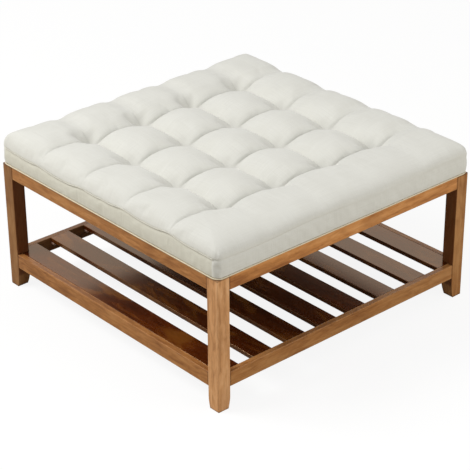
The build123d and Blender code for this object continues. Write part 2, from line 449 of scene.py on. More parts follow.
# Plans for what follows a path or repeats
class Plan(Nodes):
    """A Geometry Nodes plan with named sizes. It ends in real faces with one material."""

    def __init__(self, name, sizes):
        super().__init__(bpy.data.node_groups.new(name, "GeometryNodeTree"))
        interface = self.tree.interface
        interface.new_socket("Geometry", in_out="INPUT", socket_type="NodeSocketGeometry")
        self.sizes = {}
        for label, value in sizes.items():
            kind = "NodeSocketInt" if isinstance(value, int) else "NodeSocketFloat"
            socket = interface.new_socket(label, in_out="INPUT", socket_type=kind)
            socket.default_value = value
            self.sizes[label] = socket.identifier
        interface.new_socket("Geometry", in_out="OUTPUT", socket_type="NodeSocketGeometry")
        self.given = self.node("NodeGroupInput", {}, {})

    def end(self, geometry, material):
        real = self.node("GeometryNodeRealizeInstances", {}, {"Geometry": geometry})
        dressed = self.node("GeometryNodeSetMaterial", {}, {"Geometry": real.out(), "Material": material})
        self.node("NodeGroupOutput", {}, [dressed.out()])

    def make(self, name, base, sizes):
        """The plan carried out on a path or on points, as a plain mesh."""
        modifier = base.modifiers.new("Plan", "NODES")
        modifier.node_group = self.tree
        for label, value in sizes.items():
            modifier[self.sizes[label]] = value
        made = bpy.data.meshes.new_from_object(evaluated(base))
        base.modifiers.remove(modifier)
        bpy.data.objects.remove(base)
        made.name = name
        for polygon in made.polygons:
            polygon.use_smooth = True
        return new_object(name, made)


def path_object(name, points, closed):
    """A path through points given in millimetres."""
    curve = bpy.data.curves.new(name, "CURVE")
    curve.dimensions = "3D"
    spline = curve.splines.new("POLY")
    spline.points.add(len(points) - 1)
    for place, point in zip(spline.points, points):
        place.co = (*(point * MM), 1)
    spline.use_cyclic_u = closed
    return new_object(name, curve)


def points_object(name, places):
    """Points, given in millimetres, with the way each one faces and the way it lies along."""
    data = bpy.data.meshes.new(name)
    data.from_pydata([place * MM for place, _, _ in places], [], [])
    for label, index in (("facing", 1), ("lying", 2)):
        attribute = data.attributes.new(label, "FLOAT_VECTOR", "POINT")
        for item, place in zip(attribute.data, places):
            item.vector = place[index]
    return new_object(name, data)


def cord_plan(name, material):
    """A round sewn cord along a path."""
    plan = Plan(name, {"Radius": 0.0015, "Step": 0.006, "Sides": 12})
    steps = {"Curve": plan.given.out(), "Length": plan.given.out("Step")}
    path = plan.node("GeometryNodeResampleCurve", {"mode": "LENGTH"}, steps)
    circle = {"Radius": plan.given.out("Radius"), "Resolution": plan.given.out("Sides")}
    ring = plan.node("GeometryNodeCurvePrimitiveCircle", {}, circle)
    sweep = {"Curve": path.out(), "Profile Curve": ring.out(), "Fill Caps": True}
    plan.end(plan.node("GeometryNodeCurveToMesh", {}, sweep).out(), material)
    return plan


def repeat_plan(name, model, material, seed):
    """Copies of one model on points. Each faces its way, turned by hand a little about its own axis."""
    plan = Plan(name, {"Turn": 0.1, "Seed": seed})
    vectors = {"data_type": "FLOAT_VECTOR"}
    facing = plan.node("GeometryNodeInputNamedAttribute", vectors, {"Name": "facing"}).out()
    lying = plan.node("GeometryNodeInputNamedAttribute", vectors, {"Name": "lying"}).out()
    limit = plan.given.out("Turn")
    draw = {2: limit * -1.0, 3: limit, "Seed": plan.given.out("Seed")}
    turn = plan.node("FunctionNodeRandomValue", {"data_type": "FLOAT"}, draw).out(1)
    axes = {"primary_axis": "Z", "secondary_axis": "X"}
    upright = plan.node("FunctionNodeAxesToRotation", axes, [facing, lying]).out()
    own = plan.node("FunctionNodeAxisAngleToRotation", {}, {"Axis": (0, 0, 1), "Angle": turn}).out()
    turns = {"Rotation": upright, "Rotate By": own}
    turned = plan.node("FunctionNodeRotateRotation", {"rotation_space": "LOCAL"}, turns).out()
    shape = plan.node("GeometryNodeObjectInfo", {}, {"Object": model}).out("Geometry")
    copies = {"Points": plan.given.out(), "Instance": shape, "Rotation": turned}
    plan.end(plan.node("GeometryNodeInstanceOnPoints", {}, copies).out(), material)
    return plan


# Screws and staples
def turned_profile(mesh, profile, sides):
    """A round form from (radius, height) steps, open at both ends. Gives its first and last ring."""
    ways = [(math.cos(2 * math.pi * n / sides), math.sin(2 * math.pi * n / sides)) for n in range(sides)]
    rings = []
    for radius, height in profile:
        rings.append([mesh.verts.new((radius * x * MM, radius * y * MM, height * MM)) for x, y in ways])
    join_rings(mesh, rings)
    return rings[0], rings[-1]


def screw_model(name, shank_length):
    """A pan-head screw with a cross recess, the underside of its head at zero and its head up."""
    core, thread, pitch, head_top = 1.45, 2.0, 2, 2.4
    arm, half, recess_floor, recess_taper = 1.9, 0.45, 0.9, 0.62
    profile = [(0.5, -shank_length), (1.7, -shank_length + 3)]
    for turn in range(int((shank_length - 6) / pitch)):
        height = -shank_length + 4 + turn * pitch
        profile += [(core, height), (thread, height + 0.9), (core, height + 1.4)]
    profile += [(1.6, -1), (2.0, 0), (4.0, 0), (4.0, 0.7), (3.8, 1.4), (3.3, 2.0), (2.7, head_top)]
    mesh = bmesh.new()
    tip, rim = turned_profile(mesh, profile, 24)
    mesh.faces.new(reversed(tip))
    outline = [(arm, half), (half, half), (half, arm)]
    for _ in range(3):
        outline += [(-y, x) for x, y in outline[-3:]]
    rings = []
    for scale, height in ((1, head_top), (recess_taper, recess_floor)):
        rings.append([mesh.verts.new((x * scale * MM, y * scale * MM, height * MM)) for x, y in outline])
    join_rings(mesh, rings)
    mesh.faces.new(rings[1])
    edges = ring_edges(mesh, rim) + ring_edges(mesh, rings[0])
    bmesh.ops.triangle_fill(mesh, edges=edges, use_beauty=True)
    bmesh.ops.recalc_face_normals(mesh, faces=mesh.faces)
    return finish_mesh(name, mesh)


def staple_model(name):
    """A wire staple with rounded shoulders, the crown's upper face at zero and its prongs up."""
    reach, wire, shoulder, prong = 4.5, 0.5, 1.2, 6
    points = [Vector((-reach, 0, prong))]
    for part in range(0, 91, 30):
        angle = math.radians(180 + part)
        across = -reach + shoulder + shoulder * math.cos(angle)
        points.append(Vector((across, 0, shoulder - wire + shoulder * math.sin(angle))))
    points += [Vector((-point.x, 0, point.z)) for point in reversed(points)]
    mesh = bmesh.new()
    rings = []
    side = Vector((0, 1, 0))
    for k, point in enumerate(points):
        ahead = (points[min(k + 1, len(points) - 1)] - points[max(k - 1, 0)]).normalized()
        up = side.cross(ahead)
        corners = ((-1, -1), (1, -1), (1, 1), (-1, 1))
        rings.append([mesh.verts.new((point + side * a * wire + up * b * wire) * MM) for a, b in corners])
    join_rings(mesh, rings)
    mesh.faces.new(rings[0])
    mesh.faces.new(reversed(rings[-1]))
    bmesh.ops.recalc_face_normals(mesh, faces=mesh.faces)
    return finish_mesh(name, mesh)


def on_four_sides(places):
    """Copies of what is given for the right side to all four sides."""
    result = []
    for quarter in range(4):
        turn = Matrix.Rotation(quarter * math.pi / 2, 3, "Z")
        result += [(turn @ place, turn @ facing, turn @ lying) for place, facing, lying in places]
    return result


def fastenings(name, model, places, material, turn, seed):
    """One piece with all copies of a screw or a staple."""
    plan = repeat_plan(name + "_plan", model, material, seed)
    points = points_object(name + "_points", on_four_sides(places))
    piece = plan.make(name, points, {"Turn": turn, "Seed": seed})
    bpy.data.objects.remove(model)
    return piece


# The form of the tufted cushion
def limited(share):
    """A share kept between 0 and 1."""
    return max(0.0, min(1.0, share))


def eased(share):
    """A share kept between 0 and 1, with a smooth start and end."""
    share = limited(share)
    return share * share * (3 - 2 * share)


def bell(gap, width):
    """1 at no gap, falling away on both sides over a width."""
    return math.exp(-((gap / width) ** 2))


def uneven(x, y, size, seed):
    """A smooth unevenness between -1 and 1, the same on every run."""
    return noise.noise(Vector((x / size, y / size, seed * 7.3)))


def nearest_fold(place):
    """The fold line nearest to a place."""
    return min(FOLDS, key=lambda fold: abs(place - fold))


def fold_gap(place):
    """How far a place lies from the nearest fold line."""
    return abs(place - nearest_fold(place))


def from_dimple(x, y):
    """The way from the nearest tuft's dimple, which is drawn a little to the back left, to a place."""
    return x - nearest_fold(x) + DIMPLE_SHIFT, y - nearest_fold(y) - DIMPLE_SHIFT


def dimple_reach(x, y):
    """How far a dimple reaches: little along the folds, more towards the puffs, whose corners it rounds."""
    along_fold, towards_puff, lost_in_margin, margin_start = 0.78, 0.88, 0.75, 40
    away_x, away_y = from_dimple(x, y)
    diagonal = 2 * abs(away_x * away_y) / (away_x**2 + away_y**2 + 4)
    margin = limited((abs(y) - OUTER_FOLD) / margin_start)
    return DIMPLE_REACH * (along_fold + towards_puff * diagonal**1.4 * (1 - lost_in_margin * margin))


# Each family of folds: its extra depth midway between tufts, its depth at the near and far edge, how fast it
# fades there, how full the puffs beside it are, and the share of the margin over which it goes soft
FOLDS_ALONG_Y = {
    "midway": 9, "near_edge": 3.0, "far_edge": 7.5, "fading": 6.5, "fullness": 2.6, "seed": 3,
    "near_soft": 0.55, "far_soft": 0.34,
}
FOLDS_ALONG_X = {
    "midway": 0, "near_edge": 10, "far_edge": 10.5, "fading": 2.4, "fullness": 2.9, "seed": 4,
    "near_soft": 3.0, "far_soft": 0.8,
}
# A fold's own form: the puffs' reach in the margin, the sharp pleat in its line, and its width where soft
MARGIN_REACH = 92
PLEAT_DEPTH, PLEAT_WIDTH, PLEATED_DEPTH = 1.8, 4.5, 12
SOFT_WIDTH = 29
DEEP_FOLD = 20


def margin_share(along):
    """How far out a place lies between the outer fold, at 0, and the cushion's edge, at 1."""
    return (abs(along) - OUTER_FOLD) / (HALF - OUTER_FOLD)


def fold_depth(across, along, fold):
    """How deep a fold line is at a place along it, fading towards the edge."""
    between = 1 - (1 - fold_gap(along) / (TUFT_PITCH / 2)) ** 2
    depth = FOLD_DEPTH + fold["midway"] * between
    if abs(along) > OUTER_FOLD:
        edge = fold["far_edge"] if along > 0 else fold["near_edge"]
        depth = edge + (FOLD_DEPTH - edge) * (1 - limited(margin_share(along))) ** fold["fading"]
    return depth * (1 + 0.08 * uneven(across, along, 150, fold["seed"]))


def softness(along, fold):
    """How soft a fold has become outside the tufts: 0 is a crease, 1 is only a shallow dip."""
    return eased(margin_share(along) / (fold["far_soft"] if along > 0 else fold["near_soft"]))


def valley(across, along, fold):
    """The depth that one family of folds gives at a place."""
    gap = fold_gap(across)
    reach = MARGIN_REACH if abs(across) > OUTER_FOLD else TUFT_PITCH / 2
    depth = fold_depth(across, along, fold)
    pleat = PLEAT_DEPTH * math.exp(-gap / PLEAT_WIDTH) * min(1, depth / PLEATED_DEPTH)
    crisp = depth * limited(1 - gap / reach) ** fold["fullness"] + pleat
    dip = depth * bell(gap, SOFT_WIDTH)
    return crisp + (dip - crisp) * softness(along, fold)


# How wide the cover rolls over on each side, and the power of its curve there
ROLLS = {"left": (74, 2.6), "right": (88, 2.45), "front": (112, 2.2), "back": (78, 2.6)}
ROLL_CURVE = 2.1
# How far the pleat at each fold lifts the seam, and how wide
PLEAT_LIFTS = (7, 6, 5.5, 4.5)
PLEAT_LIFT_WIDTH = 38


def roll(place, width, power):
    """How far the edge has rolled down at a place, from 0 on the crest to 1 at the seam."""
    share = limited((abs(place) - HALF + width) / (width + RIM_OUT))
    return 1 - (1 - share**power) ** (1 / ROLL_CURVE)


def seam_height(place, side):
    """The seam over a side band: pleats pull it up a little, and it sinks behind the middle."""
    climb, wave, wave_size = 2.6, 1.6, 120
    if side == "left":
        sunk, seed = 8.5 * math.sin(math.pi * max(0, place) / HALF), 5
    else:
        sunk, seed = 4 * math.sin(math.pi * place / HALF), 6
    height = SEAM_LEVEL - sunk + climb * max(0, -place) / HALF + wave * uneven(place, 0, wave_size, seed)
    for fold, lift in zip(FOLDS, PLEAT_LIFTS):
        height += lift * bell(place - fold, PLEAT_LIFT_WIDTH)
    return height


def crease_height(place):
    """The soft crease along the front and back, where the cover turns down over the board's edge."""
    swing, start, wave_length = 3.5, -215, 460
    return CREASE_LEVEL + swing * math.sin(2 * math.pi * (place - start) / wave_length)


def crease_depth(place):
    """How sharp that crease is: clear towards one end, nearly gone at the other."""
    depth, wave, wave_size = 1.9, 0.4, 70
    fade_start, fade_length = -260, 350
    return (depth + wave * uneven(place, 9, wave_size, 12)) * (1 - eased((place - fade_start) / fade_length))


def fold_lean(place):
    """Carries the places beside a fold one way, so that one puff laps a little over the next."""
    lean, width = 2.6, 7
    return -lean * bell(fold_gap(place), width)


def round_corner(x, y):
    """Brings the square's corners onto the cushion's rounded ones."""
    out_x, out_y = abs(x) - CORNER_START, abs(y) - CORNER_START
    if out_x > 0 and out_y > 0:
        scale = max(out_x, out_y) / math.hypot(out_x, out_y)
        x = math.copysign(CORNER_START + out_x * scale, x)
        y = math.copysign(CORNER_START + out_y * scale, y)
    return x, y


# The back is fuller: its rolls are narrower from a start on, over a run. Then the way two rolls meet at a
# corner, a dimple's slope, and the slow waves of the crest and of the folds with their sizes
FULLER, FULLER_START, FULLER_RUN = 24, 250, 200
CORNER_POWER = 4.2
DIMPLE_SLOPE, DIMPLE_POINT = 0.34, 4
CREST_WAVE, CREST_WAVE_SIZE = 1.5, 130
WOBBLE, WOBBLE_SIZE, WOBBLE_START = 3.0, 90, 60


def cover_point(x, y):
    """The cover's surface over a place, before the cloth is settled."""
    side_x, side_y = "left" if x < 0 else "right", "front" if y < 0 else "back"
    deep_x, deep_y = valley(x, y, FOLDS_ALONG_Y), valley(y, x, FOLDS_ALONG_X)
    gap = math.hypot(*from_dimple(x, y))
    pulled = bell(gap, dimple_reach(x, y))
    fuller = FULLER * max(0.0, y - FULLER_START) / FULLER_RUN
    width, power = ROLLS[side_x]
    roll_x = roll(x, width - fuller, power)
    roll_y = roll(y, *ROLLS[side_y])
    rolled = min(1, (roll_x**CORNER_POWER + roll_y**CORNER_POWER) ** (1 / CORNER_POWER))
    share = (roll_x**3 + 1e-6) / (roll_x**3 + roll_y**3 + 2e-6)
    edge = share * seam_height(y, side_x) + (1 - share) * crease_height(x)
    crest = CREST + CREST_WAVE * uneven(x, y, CREST_WAVE_SIZE, 9)
    fade = (1 - rolled) ** 0.5
    height = crest - (deep_x + deep_y) * fade - (crest - edge) * rolled
    height += (TUFT_BOTTOM + DIMPLE_SLOPE * math.hypot(gap, DIMPLE_POINT) - height) * pulled
    fade *= 1 - pulled
    moved = []
    for place, deep, seed in ((x, deep_x, 1), (y, deep_y, 2)):
        wobble = WOBBLE * uneven(x, y, WOBBLE_SIZE, seed) * min(1, (HALF - abs(place)) / WOBBLE_START)
        moved.append(place + wobble + fold_lean(place) * min(1, deep / DEEP_FOLD) * fade)
    return Vector((*round_corner(*moved), height))


def crease_share(across, along, fold):
    """How deep in a fold's crease a place lies, from 0 to 1."""
    width = 4
    deep = min(1, fold_depth(across, along, fold) / DEEP_FOLD)
    return math.exp(-fold_gap(across) / width) * deep * (1 - softness(along, fold))


def crease_shade_share(x, y):
    """How deep in a tuft or a fold a place of the cover lies, from 0 to 1: the share of painted shade there.
    """
    tuft_width, in_tuft, in_fold = 30, 0.8, 0.5
    tuft = bell(math.hypot(*from_dimple(x, y)), tuft_width)
    fold = max(crease_share(x, y, FOLDS_ALONG_Y), crease_share(y, x, FOLDS_ALONG_X))
    return min(1.0, in_tuft * tuft + in_fold * fold * (1 - tuft))


# The cushion's mesh
BESIDE_FOLD = (0, 2.2, 4.8, 8.2, 12.8, 18.6, 25.4, 32.8, 40.6, 48.8, 57, 65.2, 73.4, 81.6, 90)
TOWARDS_RIM = (98, 106, 114, 122, 129.5, 137, 144, 150.5, 156.5, 162, 167, 171, 174.5, 177.5, 179.6, 181)


def grid_places():
    """The grid lines of the cover: on each fold, close beside it, and wider on the puffs."""
    places = set()
    for fold in FOLDS:
        for step in BESIDE_FOLD:
            places.update((fold + step, fold - step))
    for out in TOWARDS_RIM:
        places.update((OUTER_FOLD + out, -OUTER_FOLD - out))
    return sorted(places)


SIDE_STEPS = (
    # share of the way down, how far out on a band, how far out on the plain sides, share of the crease
    (0.03, -1.2, 0.9, 0.7),
    (0.06, -1.9, 0.8, 1.0),
    (0.1, -1.2, 0.9, 0.75),
    (0.17, 0.2, 1.1, 0.25),
    (0.29, 1.3, 1.5, 0.0),
    (0.43, 1.9, 1.9, 0.0),
    (0.58, 2.0, 2.1, 0.0),
    (0.73, 1.6, 1.8, 0.0),
    (0.87, 0.7, 1.0, 0.0),
    (1.0, -0.3, 0.0, 0.0),
)
SIDE_CLOTH_STEP = 5
BOARD_CLEARANCE = 0.4
INNER_TOP = BOARD_TOP + 0.3
# How squarely a side faces left or right where it belongs to a band
BAND_FACING = 0.94


def cushion(lines):
    """The cover and its side bands as one form, still open over the board."""
    mesh = bmesh.new()
    uv = mesh.loops.layers.uv.new("UVMap")
    tucked = mesh.verts.layers.float.new("tucked")
    flat = cloth_lengths(lines)
    last = len(lines) - 1
    top = [[mesh.verts.new(cover_point(x, y) * MM) for y in lines] for x in lines]
    # Each point's share of painted shade in tufts and creases, kept for the cloth's finish
    for x, row in zip(lines, top):
        for y, vert in zip(lines, row):
            vert[tucked] = crease_shade_share(x, y)
    for i in range(last):
        for j in range(last):
            corners = ((i, j), (i + 1, j), (i + 1, j + 1), (i, j + 1))
            face = mesh.faces.new([top[a][b] for a, b in corners])
            for corner, (a, b) in zip(face.loops, corners):
                corner[uv].uv = (flat[a] * MM, flat[b] * MM)
    rim = [(i, 0) for i in range(last)] + [(last, j) for j in range(last)]
    rim += [(i, last) for i in range(last, 0, -1)] + [(0, j) for j in range(last, 0, -1)]
    add_sides(mesh, uv, [top[i][j] for i, j in rim])
    bmesh.ops.recalc_face_normals(mesh, faces=mesh.faces)
    return finish_mesh("tufted_cushion", mesh)


def add_sides(mesh, uv, ring):
    """The sides below the rim, turned in under the cushion and up round the board."""
    rings = [ring]
    for step in SIDE_STEPS:
        rings.append([mesh.verts.new(side_point(vert.co / MM, *step) * MM) for vert in ring])
    for height in (BOTTOM, INNER_TOP):
        rings.append([mesh.verts.new(inner_point(vert.co / MM, height) * MM) for vert in ring])
    walk = ring_lengths(ring)
    for level in range(len(rings) - 1):
        for k in range(len(ring)):
            after = (k + 1) % len(ring)
            quad = (rings[level][k], rings[level + 1][k], rings[level + 1][after], rings[level][after])
            face = mesh.faces.new(quad)
            corners = ((k, level), (k, level + 1), (k + 1, level + 1), (k + 1, level))
            for corner, (step, row) in zip(face.loops, corners):
                corner[uv].uv = (walk[step] * MM, (HALF + SIDE_CLOTH_STEP * row) * MM)
            middle = (ring[k].co / MM + ring[after].co / MM) / 2
            on_band = abs(outward(middle).x) > BAND_FACING and abs(middle.y) < CORNER_START
            face.material_index = 1 if on_band else 0


def cloth_lengths(lines):
    """How much cloth lies between the middle and each grid line."""
    middle = len(lines) // 2
    on_puff = TUFT_PITCH
    lengths = [0.0] * len(lines)
    for i in range(middle + 1, len(lines)):
        step = cover_point(lines[i], on_puff) - cover_point(lines[i - 1], on_puff)
        lengths[i] = lengths[i - 1] + step.length
    for i in range(middle - 1, -1, -1):
        step = cover_point(lines[i], on_puff) - cover_point(lines[i + 1], on_puff)
        lengths[i] = lengths[i + 1] - step.length
    return lengths


def ring_lengths(ring):
    """How far round a closed ring each of its points lies, and the whole way round."""
    lengths = [0.0]
    for first, second in zip(ring, ring[1:] + ring[:1]):
        lengths.append(lengths[-1] + (second.co - first.co).length / MM)
    return lengths


def outward(point):
    """The way out of the side at a point of the rim."""
    out = (math.copysign(max(0, abs(part) - CORNER_START), part) for part in point.xy)
    return Vector((*out, 0)).normalized()


def side_point(rim, share, band_out, plain_out, creased):
    """A point of the side below a point of the rim."""
    pinch, pinch_width, ripple_depth, ripple_size = 1.7, 3.0, 0.7, 42
    away = outward(rim)
    if abs(away.x) > BAND_FACING:
        out = band_out - pinch * bell(abs(rim.y) - BAND_END, pinch_width) * min(1, share * 9)
    else:
        out = plain_out - creased * crease_depth(rim.x)
    walk_x, walk_y = rim.x + rim.y * 0.7, rim.y - rim.x * 0.7 + 40 * share
    ripple = ripple_depth * uneven(walk_x, walk_y, ripple_size, 11)
    height = rim.z + (BOTTOM - rim.z) * share
    edge = rim - away * RIM_OUT
    return Vector((edge.x, edge.y, height)) + away * (out + ripple * math.sin(math.pi * share))


def inner_point(rim, height):
    """A point of the cushion's inner wall, just outside the board."""
    scale = (BOARD_HALF + BOARD_CLEARANCE) / RIM
    return Vector((rim.x * scale, rim.y * scale, height))


def close_bottom(data):
    """Closes the form over the board with one flat face."""
    mesh = bmesh.new()
    mesh.from_mesh(data)
    bmesh.ops.holes_fill(mesh, edges=[edge for edge in mesh.edges if edge.is_boundary], sides=0)
    bmesh.ops.recalc_face_normals(mesh, faces=mesh.faces)
    mesh.to_mesh(data)
    mesh.free()


# How the cloth settles
COVER_CLOTH = {
    "quality": 7, "mass": 0.3, "tension_stiffness": 18, "compression_stiffness": 10, "shear_stiffness": 6,
    "bending_stiffness": 0.25, "use_pressure": True, "uniform_pressure_force": 2.2, "shrink_min": -0.012,
    "vertex_group_mass": "held", "pin_stiffness": 1,
}
SETTLE_FRAMES = 20
FURTHEST_MOVE = 10
FOLD_CREASE = 0.75


def fold_hold(across, along, fold):
    """How firmly one fold holds the cover: hard in its crease, broadly and lightly where it is soft."""
    line_width, between_tufts, in_margin, margin_start = 3, 0.92, 0.75, 30
    soft_hold, soft_width = 0.5, 32
    gap = fold_gap(across)
    soft = softness(along, fold)
    crisp = 0.0
    if gap < line_width:
        crisp = between_tufts if abs(along) <= OUTER_FOLD + margin_start else in_margin
    return crisp * (1 - soft) + soft_hold * bell(gap, soft_width) * soft


def held_share(x, y):
    """How firmly a point of the top is held: in a tuft, along a fold, on the front roll, not on a puff."""
    tuft_width, roll_hold, roll_start, roll_run = 6, 0.5, 310, 60
    if fold_gap(x) < tuft_width and fold_gap(y) < tuft_width:
        return 1.0
    front_roll = roll_hold * limited((-y - roll_start) / roll_run)
    return max(fold_hold(x, y, FOLDS_ALONG_Y), fold_hold(y, x, FOLDS_ALONG_X), front_roll)


def hold_points(piece, lines):
    """Says how firmly each point is held: the top by its place, the sides by their row."""
    rim_hold, upper_side, lower_side, upper_rows, least = 0.9, 0.85, 0.25, 3, 0.02
    group = piece.vertex_groups.new(name=COVER_CLOTH["vertex_group_mass"])
    count = len(lines)
    for i, x in enumerate(lines):
        for j, y in enumerate(lines):
            on_rim = i in (0, count - 1) or j in (0, count - 1)
            share = rim_hold if on_rim else held_share(x, y)
            if share > least:
                group.add([i * count + j], share, "REPLACE")
    rim = 4 * (count - 1)
    for index in range(count * count, len(piece.data.vertices)):
        row = (index - count * count) // rim
        share = upper_side if row < upper_rows else lower_side
        if row >= len(SIDE_STEPS) - 1:
            share = 1.0
        group.add([index], share, "REPLACE")


def settle(piece, lines):
    """Lets the cover take its tension over the stuffing, and caps how far any point moves."""
    hold_points(piece, lines)
    before = [vert.co.copy() for vert in piece.data.vertices]
    cover = piece.modifiers.new("Cover", "CLOTH")
    for label, value in COVER_CLOTH.items():
        setattr(cover.settings, label, value)
    cover.settings.effector_weights.gravity = 0
    cover.collision_settings.use_collision = False
    cover.collision_settings.use_self_collision = False
    cover.point_cache.frame_start = 1
    cover.point_cache.frame_end = SETTLE_FRAMES
    scene = bpy.context.scene
    for moment in range(1, SETTLE_FRAMES + 1):
        scene.frame_set(moment)
    after = [vert.co.copy() for vert in evaluated(piece).to_mesh().vertices]
    evaluated(piece).to_mesh_clear()
    piece.modifiers.remove(cover)
    scene.frame_set(1)
    cap = FURTHEST_MOVE * MM
    moved = 0.0
    for vert, start, end in zip(piece.data.vertices, before, after):
        step = end - start
        moved = max(moved, step.length)
        if step.length > cap:
            step *= cap / step.length
        vert.co = start + step
    piece.vertex_groups.clear()
    print("settled: furthest move", round(moved / MM, 1), "mm")


def smooth_with_folds(piece, lines):
    """One subdivision that keeps the fold lines crisp, then a closed bottom."""
    count = len(lines)
    creases = piece.data.attributes.new("crease_edge", "FLOAT", "EDGE")
    fold_rows = {i for i, x in enumerate(lines) if fold_gap(x) < 0.1}
    for edge in piece.data.edges:
        if max(edge.vertices) >= count * count:
            continue
        row_a, column_a = divmod(edge.vertices[0], count)
        row_b, column_b = divmod(edge.vertices[1], count)
        if row_a == row_b and row_a in fold_rows:
            creases.data[edge.index].value = FOLD_CREASE * (1 - softness(lines[column_a], FOLDS_ALONG_Y))
        elif column_a == column_b and column_a in fold_rows:
            creases.data[edge.index].value = FOLD_CREASE * (1 - softness(lines[row_a], FOLDS_ALONG_X))
    subdivision = piece.modifiers.new("Fine", "SUBSURF")
    subdivision.levels = subdivision.render_levels = 1
    carry_out(piece, subdivision)
    close_bottom(piece.data)
    for polygon in piece.data.polygons:
        polygon.use_smooth = True


def build_cushion():
    """The finished cushion."""
    lines = grid_places()
    piece = cushion(lines)
    settle(piece, lines)
    smooth_with_folds(piece, lines)
    return piece


# Trim that follows the rim, and what lies under the board
STRAIGHT_STEPS = 48
WELT_OUT = 0.3
SEAM_STEPS = 150
SEAM_OUT = 1.3
SEAM_DROP = 0.9
HEM_IN = 3.6
HEM_THICKNESS = 0.35
# How far each row of the hem lies inside the board's edge, and how far above its level
HEM_ROWS = ((0, 0.35), (0, -0.1), (14, 0.1), (30, 0.0), (46, 0.1), (52, 0.3))
DUST_STEPS = 82
DUST_THICKNESS = 0.4


def rim_path(height, out):
    """Points round the cushion's rounded square, at a height and a distance outside it."""
    reach = HALF - CORNER
    radius = CORNER + out
    quarter_path = []
    for part in range(0, 91, 15):
        angle = math.radians(part)
        x, y = reach + radius * math.cos(angle), reach + radius * math.sin(angle)
        quarter_path.append(Vector((x, y, height)))
    for part in range(1, STRAIGHT_STEPS):
        quarter_path.append(Vector((reach - 2 * reach * part / STRAIGHT_STEPS, reach + radius, height)))
    points = []
    for quarter in range(4):
        turn = Matrix.Rotation(quarter * math.pi / 2, 3, "Z")
        points += [turn @ point for point in quarter_path]
    return points


def band_seam(side):
    """The path of the turned edge where the cover is sewn to a side band."""
    x = math.copysign(HALF + SEAM_OUT, -1 if side == "left" else 1)
    reach = HALF - CORNER + 4
    points = []
    for k in range(SEAM_STEPS + 1):
        y = -reach + 2 * reach * k / SEAM_STEPS
        points.append(Vector((x + 0.25 * uneven(y, 0, 17, 21), y, seam_height(y, side) - SEAM_DROP)))
    return points


def hem():
    """The cover's edge folded under the board: a thin frame of cloth with soft waves."""
    mesh = bmesh.new()
    outer = rim_path(HEM_LEVEL, -HEM_IN)
    rows = []
    for inset, rise in HEM_ROWS:
        scale = (BOARD_HALF - inset) / BOARD_HALF
        row = []
        for point in outer:
            height = HEM_LEVEL + rise + 0.08 * uneven(point.x, point.y, 25, 31)
            row.append(mesh.verts.new(Vector((point.x * scale, point.y * scale, height)) * MM))
        rows.append(row)
    join_rings(mesh, rows)
    lay_flat(mesh)
    piece = finish_mesh("cover_hem_fold", mesh)
    thicken(piece, HEM_THICKNESS)
    return piece


def dust_height(x, y):
    """How high the dust cloth hangs: it sags, is drawn up at the staples and has faint wrinkles."""
    sag, sag_start, sag_run = 2.2, 10, 160
    pull, pull_start, pull_run = 0.25, 6, 26
    wrinkle, wrinkle_size, wrinkle_run = 0.27, 60, 30
    from_side, from_front = DUST_HALF - abs(x), DUST_HALF - abs(y)
    inside = min(from_side, from_front)
    along = x if from_front < from_side else y
    height = DUST_LEVEL - sag * min(1, max(0, inside - sag_start) / sag_run) ** 0.6
    fading = math.exp(-max(0, inside - pull_start) / pull_run) * min(1, inside / 8)
    height += pull * math.cos(2 * math.pi * along / STAPLE_PITCH) * fading
    return height - wrinkle * abs(uneven(x, y, wrinkle_size, 41)) * min(1, inside / wrinkle_run)


def dust_cloth():
    """The black cloth under the seat, taut between its staples with a slight sag."""
    lines = [-DUST_HALF + 2 * DUST_HALF * i / DUST_STEPS for i in range(DUST_STEPS + 1)]
    mesh = bmesh.new()
    grid = [[mesh.verts.new(Vector((x, y, dust_height(x, y))) * MM) for y in lines] for x in lines]
    for first, second in zip(grid, grid[1:]):
        for j in range(DUST_STEPS):
            mesh.faces.new((first[j], first[j + 1], second[j + 1], second[j]))
    lay_flat(mesh)
    piece = finish_mesh("dust_cloth", mesh)
    thicken(piece, DUST_THICKNESS)
    return piece


# The cushion and its cloths
# The cover's cloth carries painted shade in its tufts and creases
cover_cloth = cloth("ivory_weave", (232, 232, 226), (215, 214, 206), crease_shade=True)
band_cloth = cloth("ivory_band", (226, 224, 211), (207, 204, 189))
welt_cloth = cord_cloth("cream_welt", (238, 228, 204), (216, 203, 174))
seam_cloth = cord_cloth("ivory_seam", (233, 231, 222), (212, 209, 198))

cushion_piece = build_cushion()
for material in (cover_cloth, band_cloth):
    cushion_piece.data.materials.append(material)
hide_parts("cushion_cover", "side_band_left", "side_band_right", "foam_pad", "tuft_ties")

welt_path = path_object("welt_path", rim_path(WELT_LEVEL, WELT_OUT), closed=True)
welt_sizes = {"Radius": 1.75 * MM, "Step": 6 * MM, "Sides": 12}
welt = cord_plan("welt_plan", welt_cloth).make("lower_welt", welt_path, welt_sizes)
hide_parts("bottom_welt")

seams = []
for side in ("left", "right"):
    seam_path = path_object("seam_path_" + side, band_seam(side), closed=False)
    seam_sizes = {"Radius": 1.25 * MM, "Step": 5 * MM, "Sides": 10}
    seams.append(cord_plan("seam_plan_" + side, seam_cloth).make("seam_" + side, seam_path, seam_sizes))

hem_piece = hem()
hem_piece.data.materials.append(cover_cloth)
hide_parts("cover_hem")

dust_piece = dust_cloth()
dust_piece.data.materials.append(spun_cloth("black_spun_cloth", (26, 26, 27)))
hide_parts("dust_cover")

for piece in (cushion_piece, welt, hem_piece, dust_piece, *seams):
    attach(piece, "root")
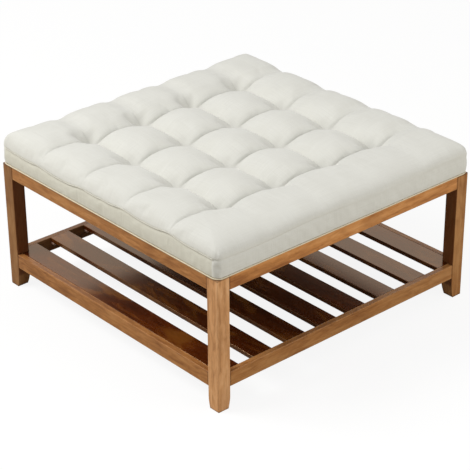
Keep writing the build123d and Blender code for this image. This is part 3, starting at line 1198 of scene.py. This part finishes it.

# Wood of the frame: the axis of its grain, its tone and seed, then its stain and the axis of a face darkened
# with painted shade
WOOD = {
    "leg_front_left": ("Z", 1.1, 1, "pale"),
    "leg_front_right": ("Z", 0.95, 2, "case", "X"),
    "leg_back_left": ("Z", 0.84, 3, "case", "Y"),
    "leg_back_right": ("Z", 0.95, 4),
    "apron_front": ("X", 1.14, 5),
    "apron_back": ("X", 0.95, 6),
    "apron_left": ("Y", 1.02, 7),
    "apron_right": ("Y", 0.96, 8),
    "shelf_rail_front": ("X", 0.98, 9),
    "shelf_rail_back": ("X", 0.76, 10),
    "shelf_rail_left": ("Y", 1.0, 11),
    "shelf_rail_right": ("Y", 0.95, 12),
}
SLAT_TONES = (1.06, 0.96, 0.94, 0.92, 0.98, 1.0, 1.08, 1.12)
SLAT_SEEDS = (41, 14, 15, 16, 17, 18, 19, 20)
for number, (slat_tone, slat_seed) in enumerate(zip(SLAT_TONES, SLAT_SEEDS), 1):
    WOOD[f"shelf_slat_{number}"] = ("Y", slat_tone, slat_seed, "shelf")

nodes = frame["nodes"]


def finish_node(node, material):
    """Puts a finish on a CAD node's material slots."""
    piece = nodes[node]
    if not piece.material_slots:
        piece.data.materials.append(material)
    for part in piece.material_slots:
        part.material = material


for node, settings in WOOD.items():
    finish_node(node, stained_wood("walnut_" + node, node, *settings))
for side, along, seed in (("front", "X", 31), ("back", "X", 32), ("left", "Y", 33), ("right", "Y", 34)):
    finish_node("seat_cleat_" + side, plain_wood("cleat_wood_" + side, (206, 172, 122), along, seed))
finish_node("seat_board", plain_wood("board_plywood", (205, 176, 132), "X", 35, layered=True))
finish_node("slat_pegs", plain_wood("peg_wood", (196, 160, 140), "Y", 36))
finish_node("frame_dowels", plain_wood("dowel_wood", (200, 168, 120), "Y", 37))

# Screws and staples under the seat, each row given for the right side
steel = zinc("zinc_plate")
inward, into_board, along_side = Vector((-1, 0, 0)), Vector((0, 0, -1)), Vector((0, 1, 0))
SCREW_PITCH = 280
STAPLE_LINE = 402
screw_rows = (
    ("cleat_screw_row", "cleat_screws", 29, Vector((413, 40, 368)), inward, 41),
    ("seat_screw_row", "seat_screws", 30, Vector((422, 0, 359)), into_board, 42),
)
fasteners = []
for name, node, length, middle, facing, seed in screw_rows:
    places = [(middle + along_side * step * SCREW_PITCH, facing, along_side) for step in (-1, 0, 1)]
    fasteners.append(fastenings(name, screw_model(name + "_model", length), places, steel, 1.5, seed))
    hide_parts(node)
staple_places = [
    (Vector((STAPLE_LINE, step * STAPLE_PITCH, STAPLE_LEVEL)), Vector((0, 0, 1)), along_side)
    for step in range(-5, 6)
]
fasteners.append(fastenings("staple_row", staple_model("staple_model"), staple_places, steel, 0.12, 43))
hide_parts("staples")
for piece in fasteners:
    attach(piece, "root")

# Floor, light and camera, all in metres
floor_mesh = bmesh.new()
bmesh.ops.create_grid(floor_mesh, x_segments=1, y_segments=1, size=9)
floor = finish_mesh("floor", floor_mesh)


def floor_finish():
    """A near-white floor with a soft pale shadow, which throws back only a part of the light."""
    finish = Finish("floor")
    seen = finish.node("ShaderNodeLightPath", {}, {}).out("Is Camera Ray")
    shaded = finish.node("ShaderNodeBsdfDiffuse", {}, {"Color": (0.14, 0.14, 0.14, 1)}).out()
    glow = finish.node("ShaderNodeEmission", {}, {"Color": (1, 1, 1, 1), "Strength": 0.88}).out()
    bounce = finish.node("ShaderNodeBsdfDiffuse", {}, {"Color": (0.5, 0.47, 0.4, 1)}).out()
    white = finish.node("ShaderNodeAddShader", {}, [shaded, glow]).out()
    return finish.end(finish.node("ShaderNodeMixShader", {}, [seen, bounce, white]).out())


def light(name, place, aim, size, watts, tint):
    """A rectangular lamp that is turned to its aim."""
    data = bpy.data.lights.new(name, "AREA")
    data.shape = "RECTANGLE"
    data.size, data.size_y = size
    data.energy = watts
    data.color = tint
    lamp = new_object(name, data)
    lamp.location = place
    lamp.rotation_euler = (Vector(aim) - Vector(place)).to_track_quat("-Z", "Y").to_euler()


def surroundings(world):
    """A soft light from all round, which the camera and reflections see as plain white."""
    world.use_nodes = True
    sky = Nodes(world.node_tree)
    rays = sky.node("ShaderNodeLightPath", {}, {})
    soft = sky.node("ShaderNodeBackground", {}, {"Color": (1.0, 0.99, 0.98, 1), "Strength": 0.4}).out()
    white = sky.node("ShaderNodeBackground", {}, {"Color": (1, 1, 1, 1), "Strength": 1.0}).out()
    seen = rays.out("Is Camera Ray").math("MAXIMUM", rays.out("Is Glossy Ray"))
    mixed = sky.node("ShaderNodeMixShader", {}, [seen, soft, white]).out()
    sky.node("ShaderNodeOutputWorld", {}, [mixed])


floor.data.materials.append(floor_finish())
light("key", (-3.1, 2.3, 4.35), (0, 0, 0.4), (2.5, 2.5), 200, (1.0, 0.995, 0.975))
light("fill", (1.2, -3.5, 1.8), (0, 0, 0.3), (2.6, 1.6), 47, (1.0, 0.982, 0.935))
bpy.context.scene.world = bpy.data.worlds.new("studio")
surroundings(bpy.context.scene.world)

camera_data = bpy.data.cameras.new("camera")
camera_data.sensor_width = 36
camera_data.lens = 131.03
camera_data.shift_x = -0.00293
camera_data.shift_y = -0.00114
camera_data.clip_end = 60
camera = new_object("camera", camera_data)
yaw, pitch, tilt = math.radians(41.346), math.radians(-27.857), math.radians(-0.367)
ahead = Vector((math.sin(yaw) * math.cos(pitch), math.cos(yaw) * math.cos(pitch), math.sin(pitch)))
level = ahead.to_track_quat("-Z", "Y").to_matrix()
camera.rotation_euler = (level @ Matrix.Rotation(tilt, 3, "Z")).to_euler()
camera.location = (-2.7788, -3.1675, 2.3973)
bpy.context.scene.camera = camera
bpy.context.scene.view_settings.view_transform = "Standard"
